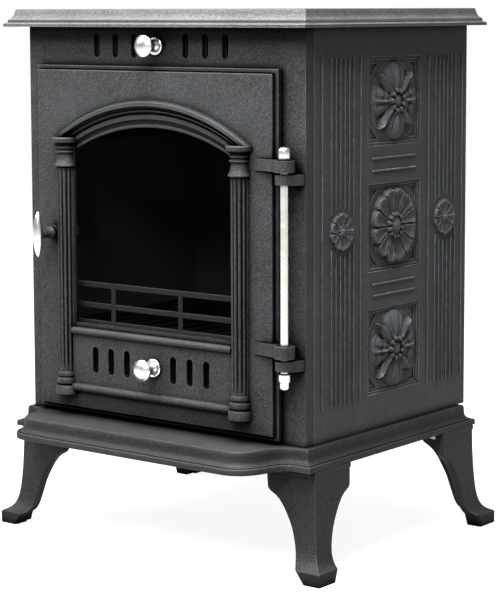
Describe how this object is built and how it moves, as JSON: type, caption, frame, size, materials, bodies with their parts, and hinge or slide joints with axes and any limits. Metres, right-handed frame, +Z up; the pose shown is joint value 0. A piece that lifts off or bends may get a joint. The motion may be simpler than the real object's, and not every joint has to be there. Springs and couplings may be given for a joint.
{
  "type": "wood burning stove",
  "caption": "Freestanding cast-iron stove with a glazed hinged door, turning handle, sliding air controls, panelled sides, angled legs and a rear flue collar.",
  "frame": {"origin": "on the floor under the middle of the stove's bounds", "axes": "+Z up, the door faces -Y, the door hinges on the +X side, the flue collar points to +Y"},
  "size_m": [0.4546, 0.422, 0.59],
  "materials": {
    "cast_iron": "matt charcoal stove paint on a fine sand-cast surface",
    "fasteners": "zinc plated",
    "black_steel": "satin black sheet steel",
    "nickel": "satin nickel plate",
    "door_glass": "clear ceramic glass that looks black over a dark firebox",
    "seal_rope": "grey glass-fibre rope",
    "fire_brick": "rough buff fire brick"
  },
  "bodies": {
    "stove_body": {"top_plate": "cast_iron", "flue_blank": "cast_iron", "front_panel": "cast_iron", "side_panel_left": "cast_iron", "side_panel_right": "cast_iron", "back_panel": "cast_iron", "base_plate": "cast_iron", "leg_front_right": "cast_iron", "leg_rear_right": "cast_iron", "leg_rear_left": "cast_iron", "leg_front_left": "cast_iron", "leg_bolt_front_right": "fasteners", "leg_bolt_rear_right": "fasteners", "leg_bolt_rear_left": "fasteners", "leg_bolt_front_left": "fasteners", "flue_collar": "cast_iron", "collar_bolt_1": "fasteners", "collar_bolt_2": "fasteners", "collar_bolt_3": "fasteners", "tie_rod_front_left": "fasteners", "tie_rod_front_right": "fasteners", "tie_rod_rear_left": "fasteners", "tie_rod_rear_right": "fasteners", "grate_bearer_left": "cast_iron", "grate_bearer_right": "cast_iron", "fire_brick_left": "fire_brick", "fire_brick_right": "fire_brick", "fire_brick_rear": "fire_brick", "ash_pan_runner_left": "cast_iron", "ash_pan_runner_right": "cast_iron", "grate": "cast_iron", "ash_pan": "black_steel", "baffle_plate": "cast_iron", "air_wash_plate": "black_steel", "log_guard": "cast_iron", "hinge_rod": "nickel", "hinge_finial_top": "nickel", "hinge_finial_bottom": "nickel"},
    "door": {"door": "cast_iron", "door_glass": "door_glass", "door_rope": "seal_rope", "glass_clip_top_left": "fasteners", "glass_clip_top_right": "fasteners", "glass_clip_bottom_left": "fasteners", "glass_clip_bottom_right": "fasteners"},
    "door_handle": {"handle_spindle": "cast_iron", "handle_knob": "nickel", "latch_cam": "black_steel", "latch_nut": "fasteners"},
    "upper_air_control": {"upper_air_slider": "black_steel", "upper_air_knob": "nickel"},
    "lower_air_control": {"lower_air_slider": "black_steel", "lower_air_knob": "nickel"}
  },
  "joints": [
    {"name": "door_hinge", "type": "hinge", "parent": "stove_body", "child": "door", "pos_m": [0.1776, -0.156, 0.33], "axis": [0, 0, 1], "range_deg": [0, 110]},
    {"name": "handle_turn", "type": "hinge", "parent": "door", "child": "door_handle", "pos_m": [-0.143, -0.16, 0.3425], "axis": [0, -1, 0], "range_deg": [0, 90]},
    {"name": "upper_air_slide", "type": "slide", "parent": "stove_body", "child": "upper_air_control", "axis": [1, 0, 0], "range_m": [0, 0.012]},
    {"name": "lower_air_slide", "type": "slide", "parent": "door", "child": "lower_air_control", "axis": [-1, 0, 0], "range_m": [0, 0.012]}
  ]
}
